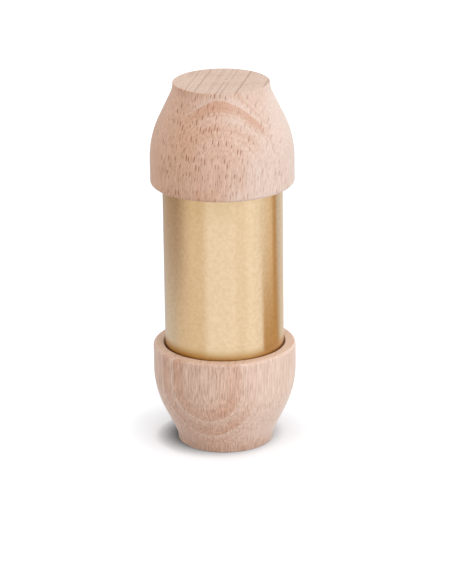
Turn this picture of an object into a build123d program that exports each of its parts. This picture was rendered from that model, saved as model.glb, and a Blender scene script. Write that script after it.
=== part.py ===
from build123d import *
import math
import os

# Hand shaker: a brass tube closed by two turned beech caps, with loose steel shot inside.
# Millimetres, +Z up along the tube, origin at the middle of the face that it stands on.

os.makedirs("parts", exist_ok=True)

# Brass tube: stock drawn tube, cut square, its ends hidden in the caps
tube_outer_d = 45.0
tube_wall = 1.0
tube_end_break = 0.2
tube_shown = 63.0

# Turned cap: heights run from the flat end to the rim, and the barrel takes what they leave
end_block = 18.8
socket_depth = 20.0
neck_land = 0.6
neck_height = 3.9
flare_height = 9.0
shoulder_height = 15.7
rim_wall = 4.0
end_step_in = 8.9
end_round = 0.4
rim_round = 1.25
mouth_break = 0.3

# Glue line: fills the gap between tube and socket and stops short of the mouth
glue_gap = 0.5
glue_recess = 2.5

# Loose shot: one layer of balls in rings on the chamber floor, in groups that move on their own
shot_d = 4.0
shot_side_gap = 0.2
shot_end_gap = 0.05
shot_rings = 4
shot_in_first_ring = 6
shot_group_count = 7

# Sizes that follow from the ones above
tube_outer_r = tube_outer_d / 2
tube_inner_r = tube_outer_r - tube_wall
tube_length = tube_shown + 2 * socket_depth
socket_r = tube_outer_r + glue_gap
barrel_r = socket_r + rim_wall
end_r = barrel_r - end_step_in
cap_height = end_block + socket_depth
total_height = 2 * cap_height + tube_shown
shot_r = shot_d / 2
shot_reach = tube_inner_r - shot_r - shot_side_gap
shot_travel = tube_length - shot_d - 2 * shot_end_gap
angle_tolerance = 1e-12


def flare_angle():
    """Angle from the axis, in radians, at which neck, flare and shoulder together step out by end_step_in."""
    low = 0.0
    high = math.pi / 2
    while high - low > angle_tolerance:
        angle = (low + high) / 2
        arcs_step = (neck_height + shoulder_height) * math.tan(angle / 2)
        line_step = flare_height * math.tan(angle)
        if arcs_step + line_step < end_step_in:
            low = angle
        else:
            high = angle
    return low


def cap_outline():
    """Half section of the lower cap: land, concave neck, straight flare, round shoulder, barrel, socket."""
    angle = flare_angle()
    turn = math.degrees(angle)
    land = Line((end_r, 0), (end_r, neck_land))
    neck = JernArc(land @ 1, land % 1, neck_height / math.sin(angle), -turn)
    flare = Line(neck @ 1, neck @ 1 + (neck % 1) * (flare_height / math.cos(angle)))
    shoulder = JernArc(flare @ 1, flare % 1, shoulder_height / math.sin(angle), turn)
    rest = Polyline(
        shoulder @ 1,
        (barrel_r, cap_height),
        (socket_r, cap_height),
        (socket_r, end_block),
        (0, end_block),
        (0, 0),
        (end_r, 0),
    )
    return Curve() + [land, neck, flare, shoulder, rest]


def turned_cap():
    """Lower cap, standing on its flat end with its socket upward."""
    cap = revolve(Plane.XZ * make_face(cap_outline()), Axis.Z)
    end_edge = cap.edges().filter_by(GeomType.CIRCLE).group_by(Axis.Z)[0]
    cap = fillet(end_edge, end_round)
    rim_edges = cap.edges().filter_by(GeomType.CIRCLE).group_by(Axis.Z)[-1].sort_by(SortBy.RADIUS)
    cap = fillet(rim_edges[-1], rim_round)
    mouth_edges = cap.edges().filter_by(GeomType.CIRCLE).group_by(Axis.Z)[-1].sort_by(SortBy.RADIUS)
    return chamfer(mouth_edges[0], mouth_break)


def sleeve(outer_r, inner_r, bottom, top):
    """Plain ring standing on the tube's axis."""
    ring = Circle(outer_r) - Circle(inner_r)
    return extrude(Pos(0, 0, bottom) * ring, top - bottom)


def brass_tube():
    """Tube, seated on the floors of both sockets."""
    tube = sleeve(tube_outer_r, tube_inner_r, end_block, end_block + tube_length)
    end_edges = tube.edges().filter_by(GeomType.CIRCLE)
    return chamfer(end_edges, tube_end_break)


def lower_glue_line():
    """Glue between tube and lower socket, from the socket's floor to just short of its mouth."""
    return sleeve(socket_r, tube_outer_r, end_block + tube_end_break, cap_height - glue_recess)


def upside_down(piece):
    """The same piece at the other end of the tube."""
    return mirror(piece, Plane.XY.offset(total_height / 2))


def shot_groups():
    """Balls in even rings out to the tube's wall, dealt in turn so that each group spreads over the floor."""
    ball = Pos(0, 0, end_block + shot_end_gap + shot_r) * Sphere(shot_r)
    balls = [ball]
    for ring in range(1, shot_rings + 1):
        ring_r = shot_reach * ring / shot_rings
        balls += PolarLocations(ring_r, shot_in_first_ring * ring) * ball
    return [balls[group::shot_group_count] for group in range(shot_group_count)]


lower_cap = turned_cap()
lower_glue = lower_glue_line()
nodes = {
    "brass_tube": brass_tube(),
    "lower_cap": lower_cap,
    "upper_cap": upside_down(lower_cap),
    "lower_glue_line": lower_glue,
    "upper_glue_line": upside_down(lower_glue),
}
for number, balls in enumerate(shot_groups(), start=1):
    nodes[f"shot_group_{number}"] = Compound(children=balls)

for name, piece in nodes.items():
    piece.label = name
    export_step(piece, f"parts/{name}.step")

print(f"overall height {total_height:.2f}, widest diameter {2 * barrel_r:.2f}, end face {2 * end_r:.2f}")
print(f"flare angle {math.degrees(flare_angle()):.2f} degrees, shot travel {shot_travel:.2f}")
print(f"balls in each group {[len(nodes[name].solids()) for name in nodes if name.startswith('shot')]}")
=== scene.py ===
# %% [markdown]
# # A hand shaker of brass and beech
# The shaker is a satin brass tube closed by two turned beech caps, with loose steel shot inside.
# The pieces arrive from the construction model at their real size, in metres, standing on the floor
# with +Z up. Nothing here moves or resizes them. This lesson gives them their finishes, and then
# builds a small white studio and a camera around them.

# %% Load the frame
import math
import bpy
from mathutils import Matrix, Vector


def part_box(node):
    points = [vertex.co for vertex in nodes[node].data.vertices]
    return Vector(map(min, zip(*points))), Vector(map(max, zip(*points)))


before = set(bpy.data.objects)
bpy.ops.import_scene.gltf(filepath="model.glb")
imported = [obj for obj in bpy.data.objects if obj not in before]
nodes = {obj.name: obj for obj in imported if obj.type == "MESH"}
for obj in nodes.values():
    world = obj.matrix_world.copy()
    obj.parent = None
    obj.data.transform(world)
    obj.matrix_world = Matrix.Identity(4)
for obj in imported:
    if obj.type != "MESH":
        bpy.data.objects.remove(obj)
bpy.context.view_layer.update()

from types import SimpleNamespace

import bpy
from mathutils import Matrix, Vector

scene = bpy.context.scene
scene.view_settings.view_transform = "Standard"
print("pieces from the construction model:", sorted(nodes))

# %% [markdown]
# ## The camera
# A product photograph like this is taken from a little above with a long lens, so upright edges stay
# nearly parallel. The camera could be placed by eye. Here it is worked out from the picture instead:
# a focal length in pixels, a distance, a height angle, a slight roll and a point to aim at put the
# rims and the end faces where the photograph shows them. So few numbers stay readable, and the
# camera can be checked against any edge.

# %% Camera
MM = 0.001
PHOTO_HEIGHT_PX = 584
SENSOR_LONG_SIDE_MM = 36.0
FOCAL_PX = 3054.0
CAMERA_DISTANCE = 1154 * MM
CAMERA_ELEVATION = math.radians(19.24)
CAMERA_ROLL = math.radians(-0.75)
AIM_POINT = Vector((0.78 * MM, 0.0, 58.1 * MM))


def make_camera():
    """Long-lens camera in front of the shaker, looking down at it."""
    back = Vector((0.0, -math.cos(CAMERA_ELEVATION), math.sin(CAMERA_ELEVATION)))
    place = Vector((0.0, 0.0, AIM_POINT.z)) + back * CAMERA_DISTANCE
    look = (AIM_POINT - place).normalized()
    data = bpy.data.cameras.new("photo_camera")
    data.sensor_width = SENSOR_LONG_SIDE_MM
    data.lens = FOCAL_PX / PHOTO_HEIGHT_PX * SENSOR_LONG_SIDE_MM
    camera = bpy.data.objects.new("photo_camera", data)
    level = look.to_track_quat("-Z", "Y").to_matrix().to_4x4()
    camera.matrix_world = Matrix.Translation(place) @ level @ Matrix.Rotation(CAMERA_ROLL, 4, "Z")
    scene.collection.objects.link(camera)
    scene.camera = camera
    return camera


camera = make_camera()
print(f"camera lens {camera.data.lens:.1f} mm at {tuple(round(v, 3) for v in camera.location)}")

# %% [markdown]
# ## Wiring helpers
# Finishes are made of shader nodes. Adding every node by hand takes many lines, so a small class
# keeps the wiring short: each method adds one or two nodes, feeds them with numbers or with other
# nodes' outputs, and gives back the output that the next step needs.

# %% Wiring class
class Wiring:
    """Adds nodes to one node tree and links them."""

    def __init__(self, tree):
        self.tree = tree

    def feed(self, node, inputs):
        """Feeds a node's inputs, given by name or number, with other nodes' outputs or plain values."""
        for name, value in dict(inputs).items():
            if isinstance(value, bpy.types.NodeSocket):
                self.tree.links.new(value, node.inputs[name])
            else:
                node.inputs[name].default_value = value

    def node(self, kind, inputs=(), **settings):
        """One node with its settings and its inputs."""
        made = self.tree.nodes.new(kind)
        for name, value in settings.items():
            setattr(made, name, value)
        self.feed(made, inputs)
        return made

    def math(self, operation, *values):
        return self.node("ShaderNodeMath", enumerate(values), operation=operation).outputs[0]

    def product(self, first, *others):
        """All the values multiplied together."""
        for other in others:
            first = self.math("MULTIPLY", first, other)
        return first

    def vector(self, operation, *values):
        made = self.node("ShaderNodeVectorMath", enumerate(values), operation=operation)
        return made.outputs["Value" if operation in ("LENGTH", "DOT_PRODUCT") else "Vector"]

    def scaled(self, vector, factor):
        inputs = {"Vector": vector, "Scale": factor}
        return self.node("ShaderNodeVectorMath", inputs, operation="SCALE").outputs["Vector"]

    def combine(self, x, y, z):
        return self.node("ShaderNodeCombineXYZ", enumerate((x, y, z))).outputs[0]

    def split(self, vector):
        return self.node("ShaderNodeSeparateXYZ", {0: vector}).outputs

    def surface(self, kind):
        """Texture coordinate: "Object" is the place, "Normal" the facing, "Generated" a sky's direction."""
        return self.node("ShaderNodeTexCoord").outputs[kind]

    def place(self):
        """Where the surface point is, in millimetres."""
        return self.scaled(self.surface("Object"), 1 / MM)

    def noise(self, vector, scale, detail=2.0, roughness=0.5):
        inputs = {"Vector": vector, "Scale": scale, "Detail": detail, "Roughness": roughness}
        return self.node("ShaderNodeTexNoise", inputs).outputs

    def swing(self, *noise, **settings):
        """Noise that swings about zero."""
        return self.math("SUBTRACT", self.noise(*noise, **settings)["Fac"], 0.5)

    def cells(self, vector, randomness=1.0, dimensions="3D"):
        inputs = {"Vector": vector, "Scale": 1.0, "Randomness": randomness}
        return self.node("ShaderNodeTexVoronoi", inputs, voronoi_dimensions=dimensions).outputs

    def ramp(self, value, start, end, low=0.0, high=1.0, curve="SMOOTHSTEP"):
        """Maps start..end to low..high, clamped."""
        inputs = {"Value": value, "From Min": start, "From Max": end, "To Min": low, "To Max": high}
        return self.node("ShaderNodeMapRange", inputs, interpolation_type=curve).outputs["Result"]

    def blend(self, factor, first, second, mode="MIX"):
        """Colour that goes from first to second as factor goes from 0 to 1."""
        made = self.node("ShaderNodeMix", data_type="RGBA", blend_type=mode)
        number = {socket.identifier: at for at, socket in enumerate(made.inputs)}
        self.feed(made, {number["Factor_Float"]: factor, number["A_Color"]: first, number["B_Color"]: second})
        return next(socket for socket in made.outputs if socket.identifier == "Result_Color")

    def bump(self, height, depth):
        """Normal of a surface that rises by depth, in millimetres, where height is 1."""
        return self.node("ShaderNodeBump", {"Height": height, "Distance": depth * MM}).outputs["Normal"]


def paint(red, green, blue):
    """Colour as a picture editor names it, 0 to 255, turned into the linear value that shaders use."""
    def linear(value):
        share = value / 255
        return share / 12.92 if share <= 0.04045 else ((share + 0.055) / 1.055) ** 2.4
    return (linear(red), linear(green), linear(blue), 1.0)


print("wiring helpers are ready; mid grey is", tuple(round(v, 3) for v in paint(128, 128, 128)))

# %% [markdown]
# ## Beech: a figure that runs through the wood
# Beech shows three things. Growth rings are shells round the middle of the tree, and where a turned
# surface cuts them they draw arches. Rays are thin upright sheets that stand side by side: cut
# across, on the front, they are short brown dashes, and on the end grain they are fine lines.
# Fibres run straight up the wood.
# A flat picture wrapped round the cap would break all of this at the edges. So the figure is solid:
# it is worked out at each point of the wood, and every cut through it is right. Both caps use it, so
# it is a node group. Its inputs are lengths in millimetres, shares and two colours, and their defaults
# give the upper cap.

# %% Beech group
BEECH_INPUTS = (
    ("Pith X", "NodeSocketFloat", 2.3),
    ("Pith Y", "NodeSocketFloat", 54.5),
    ("Ring Start", "NodeSocketFloat", 72.86),
    ("Ring Width", "NodeSocketFloat", 3.4),
    ("Ring Strength", "NodeSocketFloat", 0.7),
    ("Ring Evenness", "NodeSocketFloat", 0.14),
    ("Ring Centre", "NodeSocketFloat", 3.0),
    ("Ring Reach", "NodeSocketFloat", 17.0),
    ("Bold Ring", "NodeSocketFloat", 0.0),
    ("Fine Rings", "NodeSocketFloat", 0.2),
    ("Grain Lean", "NodeSocketFloat", 0.1),
    ("Ray Lean", "NodeSocketFloat", 0.2),
    ("Ray Width", "NodeSocketFloat", 1.05),
    ("Ray Height", "NodeSocketFloat", 6.0),
    ("Ray Strength", "NodeSocketFloat", 1.0),
    ("Fibre Strength", "NodeSocketFloat", 0.9),
    # Where the paler side begins: partly the wood's own tone, partly painted light on the lit right side
    ("Pale Side", "NodeSocketFloat", 1.0),
    ("Pale", "NodeSocketColor", paint(240, 215, 201)),
    ("Tan", "NodeSocketColor", paint(229, 183, 154)),
    ("Seed", "NodeSocketFloat", 0.0),
)
BEECH_OUTPUTS = (
    ("Color", "NodeSocketColor"),
    ("Roughness", "NodeSocketFloat"),
    ("Height", "NodeSocketFloat"),
)


def group_with_sockets(name, inputs, outputs):
    """New shader node group with named sockets. Inputs are (name, kind, default)."""
    tree = bpy.data.node_groups.new(name, "ShaderNodeTree")
    for title, kind, default in inputs:
        socket = tree.interface.new_socket(title, in_out="INPUT", socket_type=kind)
        socket.default_value = default
    for title, kind in outputs:
        tree.interface.new_socket(title, in_out="OUTPUT", socket_type=kind)
    return tree


BEECH = group_with_sockets("beech_figure", BEECH_INPUTS, BEECH_OUTPUTS)
beech = Wiring(BEECH)
given = beech.node("NodeGroupInput").outputs
print("beech group:", len(BEECH_INPUTS), "inputs and", len(BEECH_OUTPUTS), "outputs")

# %% [markdown]
# ### A place in the tree
# Every line in the wood is drawn from the point's own place. Real wood is never ruler straight, so
# the place is first moved a little by two noises, a slow drift and a small wobble. Across the rays
# the wood also leans, both up the cap and from front to back.

# %% Place in the wood
DRIFT_SCALE, DRIFT_REACH = 0.03, 0.3
WOBBLE_SCALE, WOBBLE_REACH = 0.18, 0.35
END_GRAIN_SLOPE = (0.8, 0.95)


def place_in_wood(w):
    """Coordinates in the tree, in millimetres, and how much of the surface is end grain."""
    place = w.place()
    seeded = w.vector("ADD", place, w.combine(given["Seed"], given["Seed"], given["Seed"]))
    grown = place
    for scale, reach in ((DRIFT_SCALE, DRIFT_REACH), (WOBBLE_SCALE, WOBBLE_REACH)):
        swing = w.vector("SUBTRACT", w.noise(seeded, scale)["Color"], (0.5, 0.5, 0.5))
        grown = w.vector("ADD", grown, w.scaled(swing, reach))
    x, y, z = w.split(grown)[:3]
    lean = w.math("MULTIPLY_ADD", z, given["Grain Lean"], w.math("MULTIPLY", y, given["Ray Lean"]))
    facing_up = w.math("ABSOLUTE", w.split(w.surface("Normal"))["Z"])
    return SimpleNamespace(
        x=x,
        y=y,
        z=z,
        level=w.combine(x, y, 0.0),
        across=w.math("SUBTRACT", x, lean),
        seeded=seeded,
        end_grain=w.ramp(facing_up, *END_GRAIN_SLOPE),
    )


wood = place_in_wood(beech)
print("beech group with its place in the tree:", len(BEECH.nodes), "nodes")

# %% [markdown]
# ### Growth rings
# The distance from the middle of the tree, counted in ring widths, gives each point its share of a
# ring: orange at first, fading outwards, with a pale edge before the next one. Every few rings one is
# bold. Rings show where the cut lies flat to them and come out patchy, as in a real plank.

# %% Rings
RINGS_PER_BOLD_RING = 4
BOLDNESS = 4.0
FINE_RINGS_PER_RING = 3
ORANGE_FADE = (0.15, 1.0)
PALE_EDGE = (0.78, 0.95)
FINE_EDGE = (0.3, 1.0)
FLAT_SAWN_REACH = 8.0
RING_ON_SIDES = 0.08
RING_LOST_ON_END = 0.6
RING_PATCH_SCALE = 0.06
PATCH_EDGES = (0.35, 0.65)
RING_BETWEEN_PATCHES = 0.5


def growth_rings(w):
    """How much orange, pale edge and fine ring each point has."""
    pith = w.combine(given["Pith X"], given["Pith Y"], 0.0)
    radius = w.vector("LENGTH", w.vector("SUBTRACT", wood.level, pith))
    turns = w.math("DIVIDE", w.math("SUBTRACT", radius, given["Ring Start"]), given["Ring Width"])
    share = w.math("FRACT", turns)
    fine_share = w.math("FRACT", w.math("MULTIPLY", turns, FINE_RINGS_PER_RING))

    from_bold = w.math("SUBTRACT", w.math("ROUND", turns), given["Bold Ring"])
    beat = w.math("COSINE", w.math("MULTIPLY", from_bold, math.pi / RINGS_PER_BOLD_RING))
    bold = w.math("POWER", w.math("ABSOLUTE", beat), BOLDNESS)
    bold = w.math("MAXIMUM", bold, given["Ring Evenness"])

    sideways = w.split(w.vector("CROSS_PRODUCT", wood.level, w.vector("NORMALIZE", pith)))["Z"]
    offset = w.math("ABSOLUTE", w.math("SUBTRACT", sideways, given["Ring Centre"]))
    flat_sawn = w.ramp(offset, FLAT_SAWN_REACH, given["Ring Reach"], 1.0, RING_ON_SIDES)
    patches = w.noise(wood.seeded, RING_PATCH_SCALE, detail=1.0)["Fac"]
    patches = w.ramp(patches, *PATCH_EDGES, RING_BETWEEN_PATCHES, 1.0)
    off_end = w.math("MULTIPLY_ADD", wood.end_grain, -RING_LOST_ON_END, 1.0)
    strength = w.product(given["Ring Strength"], patches, bold, flat_sawn, off_end)
    return SimpleNamespace(
        orange=w.product(w.ramp(share, *ORANGE_FADE, 1.0, 0.0), strength),
        pale=w.product(w.ramp(share, *PALE_EDGE), strength),
        fine=w.product(w.ramp(fine_share, *FINE_EDGE), flat_sawn, patches, given["Fine Rings"]),
    )


rings = growth_rings(beech)
print("beech group with its rings:", len(BEECH.nodes), "nodes")

# %% [markdown]
# ### Rays and fibres
# A ray cut across is a small upright lens. Lenses could be scattered one by one, but a cell texture
# does it at once: space is squeezed so that its cells stand tall, and a lens is drawn in each, large
# in some and small in others. A finer set of cells fills the gaps. Fibres are a noise that is
# stretched along the grain.

# %% Rays and fibres
LARGE_RAY_SIZES = (0.07, 0.26)
LARGE_RAY_DRAW = (0.1, 0.9)
LARGE_RAY_CORE = 0.5
LARGE_RAY_SCATTER = 0.8
SMALL_RAYS_PER_LARGE = 2.3
SMALL_RAY_EDGES = (0.08, 0.36)
SMALL_RAY_STRENGTH = 0.3
SIDE_EDGES = (0.78, 0.94)
RAY_ON_SIDES = 0.12
FIBRE_STRETCH = 0.06
FIBRES_PER_MM = 2.2


def ray_flecks(w):
    """Lenses of the rays. On the sides of the cap the sheets lie along the cut and hardly show."""
    column = w.math("DIVIDE", wood.across, given["Ray Width"])
    row = w.math("DIVIDE", wood.z, given["Ray Height"])
    space = w.vector("ADD", w.combine(column, row, 0.0), w.combine(given["Seed"], given["Seed"], 0.0))
    large = w.cells(space, LARGE_RAY_SCATTER, "2D")
    size = w.ramp(w.split(large["Color"])["X"], *LARGE_RAY_DRAW, *LARGE_RAY_SIZES, "LINEAR")
    core = w.math("MULTIPLY", size, LARGE_RAY_CORE)
    large_ray = w.ramp(large["Distance"], core, size, 1.0, 0.0)
    small = w.cells(w.scaled(space, SMALL_RAYS_PER_LARGE), 1.0, "2D")
    small_ray = w.ramp(small["Distance"], *SMALL_RAY_EDGES, SMALL_RAY_STRENGTH, 0.0)
    to_side = w.math("DIVIDE", w.math("ABSOLUTE", wood.x), w.vector("LENGTH", wood.level))
    on_sides = w.ramp(to_side, *SIDE_EDGES, 1.0, RAY_ON_SIDES)
    return w.product(w.math("MAXIMUM", large_ray, small_ray), on_sides)


def fibre_streaks(w):
    """Fine upright streaks, dark and pale by turns."""
    space = w.combine(wood.across, wood.y, w.math("MULTIPLY", wood.z, FIBRE_STRETCH))
    return w.swing(space, FIBRES_PER_MM, detail=4.0, roughness=0.6)


rays = ray_flecks(beech)
fibre = fibre_streaks(beech)
print("beech group with its rays and fibres:", len(BEECH.nodes), "nodes")

# %% [markdown]
# ### The colour of beech
# The colours go on as layers, from the plain wood up: pale towards the right and tan towards the
# left, partly the wood's own tone and partly painted light on the lit side; then rings, fibres and
# rays, then the lines and pores of the end grain. Last comes a painted shade on the foot, darker
# towards the floor. Rays also lie a little deeper and smoother than the wood round them, so they feed
# the group's roughness and height as well.

# %% Beech colour
PALE_LIT_SIDE_SPREAD = 34.0
PALE_LIT_EDGES = (-0.5, 0.5)
CLOUD_SCALE, CLOUD_REACH = 0.05, 1.2
END_TAN = paint(242, 210, 187)
END_TAN_SHARE = 0.9
RING_ORANGE = paint(210, 146, 108)
FIBRE_TINT = (0.75, 1.0, 1.2)
FIBRE_ON_TAN, FIBRE_ON_PALE = 1.4, 0.85
RAY_BROWN = paint(164, 96, 62)
RAY_ON_END = paint(184, 128, 96)
RAY_PATCH_SCALE = 0.09
RAY_BETWEEN_PATCHES = 0.65
RAY_PALE_EDGES, RAY_ON_PALE = (0.3, 0.9), 0.4
END_LINE_SPACING = 2.2
END_LINE_EDGES, END_LINE_STRENGTH = (0.54, 0.68), 0.7
PORES_PER_MM = 2.4
PORE_EDGES, PORE_STRENGTH = (0.5, 0.72), 0.5
# Painted shade on the foot, darker towards the floor
FOOT_SHADE_COLOUR = paint(140, 96, 70)
FOOT_SHADE_REACH = 6.0
FOOT_SHADE_SHARE = 0.34
WOOD_ROUGHNESS = 0.55
RAY_SMOOTHNESS = 0.1
RAY_DEPTH = 0.6


def layered_colour(w):
    """Plain wood, then rings, fibres, rays, end grain and painted foot shade, one over the other."""
    # Paler towards the right: partly the wood's own tone, partly painted light on the lit side
    cloud = w.swing(wood.seeded, CLOUD_SCALE)
    to_right = w.math("DIVIDE", w.math("SUBTRACT", wood.x, given["Pale Side"]), PALE_LIT_SIDE_SPREAD)
    pale_and_lit_share = w.ramp(w.math("MULTIPLY_ADD", cloud, CLOUD_REACH, to_right), *PALE_LIT_EDGES)
    colour = w.blend(pale_and_lit_share, given["Tan"], given["Pale"])
    colour = w.blend(w.math("MULTIPLY", wood.end_grain, END_TAN_SHARE), colour, END_TAN)
    colour = w.blend(rings.orange, colour, RING_ORANGE)
    colour = w.blend(rings.pale, colour, given["Pale"])
    colour = w.blend(rings.fine, colour, RING_ORANGE)

    on_pale = w.ramp(pale_and_lit_share, 0.0, 1.0, FIBRE_ON_TAN, FIBRE_ON_PALE)
    fibre_tint = w.scaled(FIBRE_TINT, w.product(given["Fibre Strength"], on_pale, fibre))
    colour = w.blend(1.0, colour, w.vector("ADD", fibre_tint, (1.0, 1.0, 1.0)), "MULTIPLY")

    patches = w.noise(wood.seeded, RAY_PATCH_SCALE, detail=1.0)["Fac"]
    patches = w.ramp(patches, *PATCH_EDGES, RAY_BETWEEN_PATCHES, 1.0)
    on_pale = w.ramp(pale_and_lit_share, *RAY_PALE_EDGES, 1.0, RAY_ON_PALE)
    ray_share = w.product(rays, given["Ray Strength"], patches, on_pale)
    colour = w.blend(ray_share, colour, w.blend(wood.end_grain, RAY_BROWN, RAY_ON_END))

    line_space = w.combine(w.math("DIVIDE", wood.across, END_LINE_SPACING), given["Seed"], 0.0)
    lines = w.ramp(w.noise(line_space, 1.0)["Fac"], *END_LINE_EDGES, 0.0, END_LINE_STRENGTH)
    pores = w.ramp(w.noise(wood.seeded, PORES_PER_MM)["Fac"], *PORE_EDGES, 0.0, PORE_STRENGTH)
    for marks in (lines, pores):
        colour = w.blend(w.math("MULTIPLY", marks, wood.end_grain), colour, RAY_ON_END)
    # Painted shade: darker towards the floor on the foot of the cap
    return w.blend(w.ramp(wood.z, 0.0, FOOT_SHADE_REACH, FOOT_SHADE_SHARE, 0.0), colour, FOOT_SHADE_COLOUR)


beech.node("NodeGroupOutput", {
    "Color": layered_colour(beech),
    "Roughness": beech.math("MULTIPLY_ADD", rays, -RAY_SMOOTHNESS, WOOD_ROUGHNESS),
    "Height": beech.math("MULTIPLY_ADD", rays, -RAY_DEPTH, fibre),
})
print("beech group finished:", len(BEECH.nodes), "nodes")

# %% [markdown]
# ## The two caps
# The caps are turned from the same plank but not from the same place in it, so each has its own
# rings and rays. The material is the same. The upper cap keeps the group's defaults, with bold dashes
# and a high arch. The lower one brings its own values, with fine streaks and low nested arcs. The wood
# is sanded and left raw, so it is matt with a faint sheen.

# %% Cap materials
WOOD_BUMP = 0.012


def new_material(name):
    """New node material, with its wiring and its Principled shader."""
    material = bpy.data.materials.new(name)
    material.use_nodes = True
    return material, Wiring(material.node_tree), material.node_tree.nodes["Principled BSDF"]


def dress(node_name, material):
    """Gives a piece of the construction model its finish."""
    for slot in nodes[node_name].material_slots:
        slot.material = material


def beech_material(name, **values):
    """Raw beech. Values are the group's inputs that differ from its defaults."""
    material, w, shader = new_material(name)
    figure = w.node("ShaderNodeGroup", node_tree=BEECH)
    w.feed(figure, {title.replace("_", " ").title(): value for title, value in values.items()})
    w.feed(shader, {
        "Base Color": figure.outputs["Color"],
        "Roughness": figure.outputs["Roughness"],
        "Normal": w.bump(figure.outputs["Height"], WOOD_BUMP),
        "Specular IOR Level": 0.5,
        "Sheen Weight": 0.4,
        "Sheen Roughness": 0.35,
    })
    return material


upper_beech = beech_material("upper_beech")
lower_beech = beech_material(
    "lower_beech",
    pith_x=36.0,
    pith_y=125.0,
    ring_start=150.7,
    ring_strength=0.85,
    ring_evenness=0.2,
    ring_centre=-3.0,
    ring_reach=24.0,
    bold_ring=0.5,
    fine_rings=0.08,
    grain_lean=0.04,
    ray_width=0.5,
    ray_height=8.0,
    ray_strength=0.7,
    fibre_strength=1.2,
    pale_side=6.0,
    pale=paint(246, 217, 200),
    tan=paint(234, 198, 177),
    seed=37.0,
)
dress("upper_cap", upper_beech)
dress("lower_cap", lower_beech)
print("caps dressed:", upper_beech.name, lower_beech.name)

# %% [markdown]
# ## Satin brass
# The tube is drawn brass, rubbed to a satin finish round and round. The fine rings spread a
# reflection up and down the tube but keep it narrow across, which is why such a tube shows clean
# upright bands of light. That is an anisotropic metal, with its grain turned round the tube. Hands
# and cloths leave faint slanted marks on it, and scratches on the left. By the lower rim, where no
# cloth reaches, it turns olive and darker, more on the left: partly tarnish, partly painted shade.
# Below the upper rim, on the left, hangs a weaker painted shade of the same colour.

# %% Brass material
LOWER_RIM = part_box("lower_cap")[1].z / MM
UPPER_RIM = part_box("upper_cap")[0].z / MM
BRASS_DULL = paint(234, 204, 163)
BRASS_BRIGHT = paint(243, 215, 178)
# Olive colour of the tarnish and of the painted shade by both rims
TARNISH_AND_SHADE = paint(175, 134, 12)
TARNISH_AND_SHADE_REACH = 4.8
TARNISH_AND_SHADE_RAGGED = 1.5
TARNISH_AND_SHADE_START = -0.8
TARNISH_AND_SHADE_STRENGTH = 0.82
TARNISH_AND_SHADE_ON_RIGHT = 0.72
# Left to right: where scratches show, and where the painted shade by the lower rim is strongest
SCRATCHED_AND_SHADED_SIDE = (-20.0, 4.0)
UNDER_RIM_SHADE_REACH = 16.0
UNDER_RIM_SHADE_STRENGTH = 0.15
UNDER_RIM_SHADED_SIDE = (1.0, 8.0)
RUB_ANGLE = math.radians(35)
MARK_STRETCH = (1.1, 0.5, 0.22)
MARK_SHARE = 0.25
MOTTLE_PER_MM = 0.7
WORN_EDGES = (0.35, 0.65)
SCRATCH_STRETCH = (2.6, 0.6, 0.6)
SCRATCH_CONTRAST = 0.3
POLISH_STRETCH = (0.08, 0.08, 5.0)
POLISH_BUMP = 0.002
BRASS_ROUGHNESS, POLISH_ROUGHNESS = 0.19, 0.08


def brass_colour(w, place):
    """Brass with rubbing marks, mottle and scratches, with tarnish and painted shade where it meets the wood.
    """
    sides = w.split(place)
    x, z = sides["X"], sides["Z"]
    slant = {"Vector": place, "Axis": (0.0, 1.0, 0.0), "Angle": RUB_ANGLE}
    slanted = w.node("ShaderNodeVectorRotate", slant, rotation_type="AXIS_ANGLE").outputs["Vector"]
    marks = w.noise(w.vector("MULTIPLY", slanted, MARK_STRETCH), 1.0, detail=3.0, roughness=0.65)["Fac"]
    mottle = w.noise(place, MOTTLE_PER_MM, detail=5.0, roughness=0.65)["Fac"]
    worn = w.math("MULTIPLY_ADD", marks, MARK_SHARE, w.math("MULTIPLY", mottle, 1 - MARK_SHARE))
    colour = w.blend(w.ramp(worn, *WORN_EDGES), BRASS_DULL, BRASS_BRIGHT)

    scratches = w.swing(w.vector("MULTIPLY", slanted, SCRATCH_STRETCH), 1.0, detail=3.0, roughness=0.7)
    depth = w.ramp(x, *SCRATCHED_AND_SHADED_SIDE, SCRATCH_CONTRAST, 0.0)
    colour = w.scaled(colour, w.math("MULTIPLY_ADD", scratches, depth, 1.0))

    # Tarnish and painted shade: olive and darker close to the lower rim, stronger on the shaded left
    ragged = w.math("MULTIPLY_ADD", mottle, -TARNISH_AND_SHADE_RAGGED, w.math("SUBTRACT", z, LOWER_RIM))
    tarnish_and_shade = w.ramp(ragged, TARNISH_AND_SHADE_START, TARNISH_AND_SHADE_START + TARNISH_AND_SHADE_REACH, TARNISH_AND_SHADE_STRENGTH, 0.0)
    tarnish_and_shade = w.math("MULTIPLY", tarnish_and_shade, w.ramp(x, *SCRATCHED_AND_SHADED_SIDE, 1.0, TARNISH_AND_SHADE_ON_RIGHT))
    # Painted shade below the upper rim, on the left side only
    under_rim_shade = w.ramp(w.math("SUBTRACT", UPPER_RIM, z), 0.0, UNDER_RIM_SHADE_REACH, UNDER_RIM_SHADE_STRENGTH, 0.0)
    under_rim_shade = w.math("MULTIPLY", under_rim_shade, w.ramp(x, *UNDER_RIM_SHADED_SIDE, 1.0, 0.0))
    return w.blend(w.math("MAXIMUM", tarnish_and_shade, under_rim_shade), colour, TARNISH_AND_SHADE)


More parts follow.
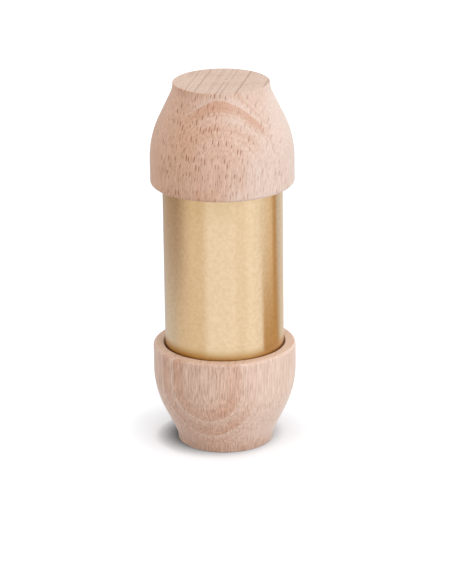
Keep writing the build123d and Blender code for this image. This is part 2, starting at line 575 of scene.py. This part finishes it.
def brass_material():
    material, w, shader = new_material("satin_brass_rubbed")
    place = w.place()
    polish = w.noise(w.vector("MULTIPLY", place, POLISH_STRETCH), 1.0, detail=4.0, roughness=0.7)["Fac"]
    w.feed(shader, {
        "Base Color": brass_colour(w, place),
        "Metallic": 1.0,
        "Roughness": w.math("MULTIPLY_ADD", polish, POLISH_ROUGHNESS, BRASS_ROUGHNESS),
        "Normal": w.bump(polish, POLISH_BUMP),
        "Anisotropic": 0.9,
        "Anisotropic Rotation": 0.25,
        "Tangent": w.node("ShaderNodeTangent", direction_type="RADIAL", axis="Z").outputs["Tangent"],
    })
    return material


brass = brass_material()
dress("brass_tube", brass)
print("tube dressed:", brass.name)

# %% [markdown]
# ## Glue and shot
# Neither shows from outside, but anyone who takes the shaker apart will see them. The glue is a
# cured amber film with small bubbles. The shot is tumbled steel, grey and slightly scuffed. Each
# needs only a noise or two.

# %% Glue and shot materials
GLUE_DARK = paint(176, 140, 88)
GLUE_PALE = paint(214, 184, 130)
GLUE_ROUGHNESS, FILM_ROUGHNESS = 0.25, 0.2
FILM_PER_MM = 0.4
BUBBLES_PER_MM = 0.9
BUBBLE_EDGES = (0.1, 0.22)
BUBBLE_BUMP = 0.03
STEEL_SCUFFED = paint(158, 160, 162)
STEEL_BRIGHT = paint(198, 200, 203)
STEEL_ROUGHNESS, SCUFF_ROUGHNESS = 0.2, 0.25
SCUFFS_PER_MM = 1.6
SCUFF_EDGES = (0.35, 0.65)
SCUFF_BUMP = 0.01


def glue_material():
    material, w, shader = new_material("cured_glue_film")
    place = w.place()
    film = w.noise(place, FILM_PER_MM, detail=3.0)["Fac"]
    bubbles = w.ramp(w.cells(w.scaled(place, BUBBLES_PER_MM))["Distance"], *BUBBLE_EDGES)
    w.feed(shader, {
        "Base Color": w.blend(film, GLUE_DARK, GLUE_PALE),
        "Roughness": w.math("MULTIPLY_ADD", film, FILM_ROUGHNESS, GLUE_ROUGHNESS),
        "Normal": w.bump(bubbles, BUBBLE_BUMP),
    })
    return material


def shot_material():
    material, w, shader = new_material("tumbled_steel")
    scuff = w.noise(w.place(), SCUFFS_PER_MM, detail=4.0, roughness=0.6)["Fac"]
    w.feed(shader, {
        "Base Color": w.blend(w.ramp(scuff, *SCUFF_EDGES), STEEL_SCUFFED, STEEL_BRIGHT),
        "Metallic": 1.0,
        "Roughness": w.math("MULTIPLY_ADD", scuff, SCUFF_ROUGHNESS, STEEL_ROUGHNESS),
        "Normal": w.bump(scuff, SCUFF_BUMP),
    })
    return material


glue = glue_material()
steel = shot_material()
for name in nodes:
    if name.endswith("glue_line"):
        dress(name, glue)
    if name.startswith("shot_group"):
        dress(name, steel)
print("inside pieces dressed:", glue.name, steel.name)

# %% [markdown]
# ## The floor
# The photograph has a white floor with no horizon, and a shade on the left where the base stands. To
# the light the floor is plain pale paper. To the camera and to mirrors it glows a little as well, so
# that it reaches white without any more light on the wood.
# The shade is painted into the floor's colour for the camera and for mirrors, on top of the lamps'
# own shadows. Its depth at each spot comes from how much of the sky the shaker hides from it. Asked
# nearly upright, with a lean towards the camera, this gives a faint shade all round. Asked within a
# short reach, with a lean to the right, it gives the deep one on the left.

# %% Floor
FLOOR_HALF_SIZE = 3.0
FLOOR_PAPER = paint(204, 204, 204)
FLOOR_WHITE = (0.87, 0.9, 0.93)
FLOOR_GLOW = 0.42
SHADE_SAMPLES = 16
CONTACT_REACH = 0.0105
CONTACT_LEAN = Vector((0.48, -0.36, 0.8)).normalized()
CONTACT_EDGES, CONTACT_DARK = (0.22, 0.86), 0.08
ALL_ROUND_REACH = 0.024
ALL_ROUND_LEAN = Vector((0.0, -0.4, 0.9)).normalized()
ALL_ROUND_EDGES, ALL_ROUND_DARK = (0.4, 0.98), 0.68


def stage_mesh(name, points, faces, material):
    """Mesh that belongs to the studio and not to the shaker."""
    mesh = bpy.data.meshes.new(name)
    mesh.from_pydata(points, [], faces)
    mesh.materials.append(material)
    made = bpy.data.objects.new(name, mesh)
    scene.collection.objects.link(made)
    return made


def bare_material(name):
    """Material with nothing but its output node, for a shader of its own."""
    material, w, shader = new_material(name)
    material.node_tree.nodes.remove(shader)
    return material, w, material.node_tree.nodes["Material Output"]


def seen_directly(w):
    """1 for rays from the camera, a mirror or glass, and 0 for the rays that carry light about."""
    path = w.node("ShaderNodeLightPath").outputs
    seen = w.math("MAXIMUM", path["Is Camera Ray"], path["Is Glossy Ray"])
    return w.math("MAXIMUM", seen, path["Is Transmission Ray"])


def open_sky(w, reach, lean):
    """Share of the sky that a spot sees past what stands within reach, asked in a leaning direction."""
    asked = {"Distance": reach, "Normal": w.combine(*lean)}
    return w.node("ShaderNodeAmbientOcclusion", asked, samples=SHADE_SAMPLES).outputs["AO"]


def floor_shade(w):
    """Painted soft shade on the floor: deep on the left where the base meets it, faint all round."""
    contact = open_sky(w, CONTACT_REACH, CONTACT_LEAN)
    contact = w.ramp(contact, *CONTACT_EDGES, CONTACT_DARK, 1.0, "LINEAR")
    around = open_sky(w, ALL_ROUND_REACH, ALL_ROUND_LEAN)
    around = w.ramp(around, *ALL_ROUND_EDGES, ALL_ROUND_DARK, 1.0, "LINEAR")
    return w.math("MULTIPLY", contact, around)


def make_floor():
    material, w, output = bare_material("white_floor")
    shade = floor_shade(w)
    plain = w.node("ShaderNodeBsdfDiffuse", {"Color": FLOOR_PAPER}).outputs["BSDF"]
    lit = w.node("ShaderNodeBsdfDiffuse", {"Color": w.scaled(FLOOR_WHITE, shade)}).outputs["BSDF"]
    glow = w.node("ShaderNodeEmission", {"Color": shade, "Strength": FLOOR_GLOW}).outputs["Emission"]
    white = w.node("ShaderNodeAddShader", {0: lit, 1: glow}).outputs["Shader"]
    mix = w.node("ShaderNodeMixShader", {"Fac": seen_directly(w), 1: plain, 2: white})
    w.feed(output, {"Surface": mix.outputs["Shader"]})
    size = FLOOR_HALF_SIZE
    corners = [(-size, -size, 0.0), (size, -size, 0.0), (size, size, 0.0), (-size, size, 0.0)]
    return stage_mesh("floor", corners, [(0, 1, 2, 3)], material)


floor = make_floor()
print("floor:", floor.name)

# %% [markdown]
# ## The sky
# A plain white world would light the shaker evenly from all sides and flatten it. This one is a
# little brighter in front on the right, as a room with one large window is. To the camera and to
# mirrors it is plain white.

# %% Sky
SKY_WHITE = paint(255, 255, 255)
SKY_MEAN = 0.6
SKY_SWING = 0.27
SKY_BRIGHT_SIDE = Vector((0.5, -0.8, 0.1)).normalized()


def make_sky():
    world = bpy.data.worlds.new("white_studio")
    world.use_nodes = True
    scene.world = world
    w = Wiring(world.node_tree)
    facing = w.vector("DOT_PRODUCT", w.surface("Generated"), SKY_BRIGHT_SIDE)
    glow = w.math("MULTIPLY_ADD", facing, SKY_SWING, SKY_MEAN)
    strength = w.math("MAXIMUM", glow, seen_directly(w))
    w.feed(world.node_tree.nodes["Background"], {"Color": SKY_WHITE, "Strength": strength})
    return world


sky = make_sky()
print("sky:", sky.name)

# %% [markdown]
# ## Lamps
# Three soft boxes model the form. The one in front on the right is the main light, one behind on the
# right draws a pale edge along the wood, and a weak one on the left keeps that side from going dull.
# They are wide and close, so no edge of light is hard.

# %% Soft boxes
AIM_HEIGHT = 0.07


def soft_box(name, azimuth, elevation, distance, width, height, power):
    """Area lamp aimed at the shaker. Azimuth is from the camera's side, towards the right."""
    turn, rise = math.radians(azimuth), math.radians(elevation)
    way = Vector((math.sin(turn) * math.cos(rise), -math.cos(turn) * math.cos(rise), math.sin(rise)))
    data = bpy.data.lights.new(name, "AREA")
    data.shape = "RECTANGLE"
    data.size = width
    data.size_y = height
    data.energy = power
    lamp = bpy.data.objects.new(name, data)
    place = way * distance + Vector((0.0, 0.0, AIM_HEIGHT))
    lamp.matrix_world = Matrix.Translation(place) @ way.to_track_quat("Z", "Y").to_matrix().to_4x4()
    scene.collection.objects.link(lamp)
    return lamp


lamps = (
    soft_box("front_soft_box", azimuth=40, elevation=27, distance=0.9, width=0.7, height=0.7, power=2.6),
    soft_box("edge_soft_box", azimuth=142, elevation=8, distance=0.8, width=0.4, height=0.7, power=1.7),
    soft_box("left_soft_box", azimuth=-120, elevation=15, distance=0.8, width=0.5, height=0.7, power=1.7),
)
print("lamps:", [lamp.name for lamp in lamps])

# %% [markdown]
# ## A paper drum for the brass
# Polished metal has hardly any look of its own: it shows the room. A photographer stands cards
# round a tube to draw its bands. Here one drum of paper stands close round the shaker: white in front
# with an ivory seam, cream and then stone towards the left, a brown strip on the right that fades out
# upwards, and oat and stone behind. Only mirrors see it, so it casts no shadow and lights nothing.
# Each row names a direction, in degrees from the camera's side towards the right, and the papers that
# stand there at the drum's foot and at its head. Between two rows one paper runs into the next.

# %% Paper drum
PAPERS = {
    "white": paint(249, 250, 252),
    "ivory": paint(238, 236, 233),
    "cream": paint(230, 222, 210),
    "oat": paint(222, 216, 209),
    "stone": paint(206, 207, 210),
    "putty": paint(172, 158, 148),
    "sand": paint(232, 214, 192),
    "umber": paint(192, 158, 109),
}
DRUM_SHEETS = (
    (-180, "stone", "stone"),
    (-104, "stone", "putty"),
    (-92, "stone", "putty"),
    (-82, "oat", "putty"),
    (-53, "cream", "cream"),
    (-34, "cream", "cream"),
    (-24, "white", "white"),
    (14, "white", "white"),
    (23, "ivory", "ivory"),
    (32, "ivory", "ivory"),
    (42, "white", "white"),
    (61, "white", "white"),
    (66, "white", "ivory"),
    (68, "umber", "ivory"),
    (90, "umber", "sand"),
    (94.5, "umber", "umber"),
    (101, "umber", "umber"),
    (109, "umber", "stone"),
    (117, "stone", "stone"),
    (124, "oat", "oat"),
    (150, "oat", "oat"),
    (180, "stone", "stone"),
)
DRUM_RADIUS = 0.06
DRUM_LEVELS = (0.0, 0.16)
DRUM_FADE = (0.022, 0.08)
DRUM_STEPS = 96


def paper_round(w, share, papers):
    """Colours round the drum, one for each row of the table. Share runs from 0 to 1 once round."""
    ramp = w.node("ShaderNodeValToRGB", {"Fac": share})
    stops = ramp.color_ramp.elements
    while len(stops) < len(DRUM_SHEETS):
        stops.new(0.5)
    for stop, (degrees, *_), paper in zip(stops, DRUM_SHEETS, papers):
        stop.position = (degrees + 180) / 360
        stop.color = PAPERS[paper]
    return ramp.outputs["Color"]


def drum_material():
    """Paper that glows as lit paper does, from the foot's colours to the head's."""
    material, w, output = bare_material("drum_paper")
    x, y, z = w.split(w.surface("Object"))[:3]
    turn = w.math("ARCTAN2", x, w.math("MULTIPLY", y, -1.0))
    share = w.math("MULTIPLY_ADD", turn, 0.5 / math.pi, 0.5)
    foot = paper_round(w, share, [sheet[1] for sheet in DRUM_SHEETS])
    head = paper_round(w, share, [sheet[2] for sheet in DRUM_SHEETS])
    colour = w.blend(w.ramp(z, *DRUM_FADE), foot, head)
    w.feed(output, {"Surface": w.node("ShaderNodeEmission", {"Color": colour}).outputs["Emission"]})
    return material


def paper_drum():
    points = []
    for height in DRUM_LEVELS:
        for step in range(DRUM_STEPS):
            turn = 2 * math.pi * step / DRUM_STEPS
            points.append((math.sin(turn) * DRUM_RADIUS, -math.cos(turn) * DRUM_RADIUS, height))
    faces = []
    for step in range(DRUM_STEPS):
        following = (step + 1) % DRUM_STEPS
        faces.append((step, following, following + DRUM_STEPS, step + DRUM_STEPS))
    made = stage_mesh("paper_drum", points, faces, drum_material())
    made.visible_camera = False
    made.visible_diffuse = False
    made.visible_shadow = False
    made.visible_transmission = False
    return made


drum = paper_drum()
print("drum:", drum.name, "with", len(DRUM_SHEETS), "sheets of", len(PAPERS), "papers")
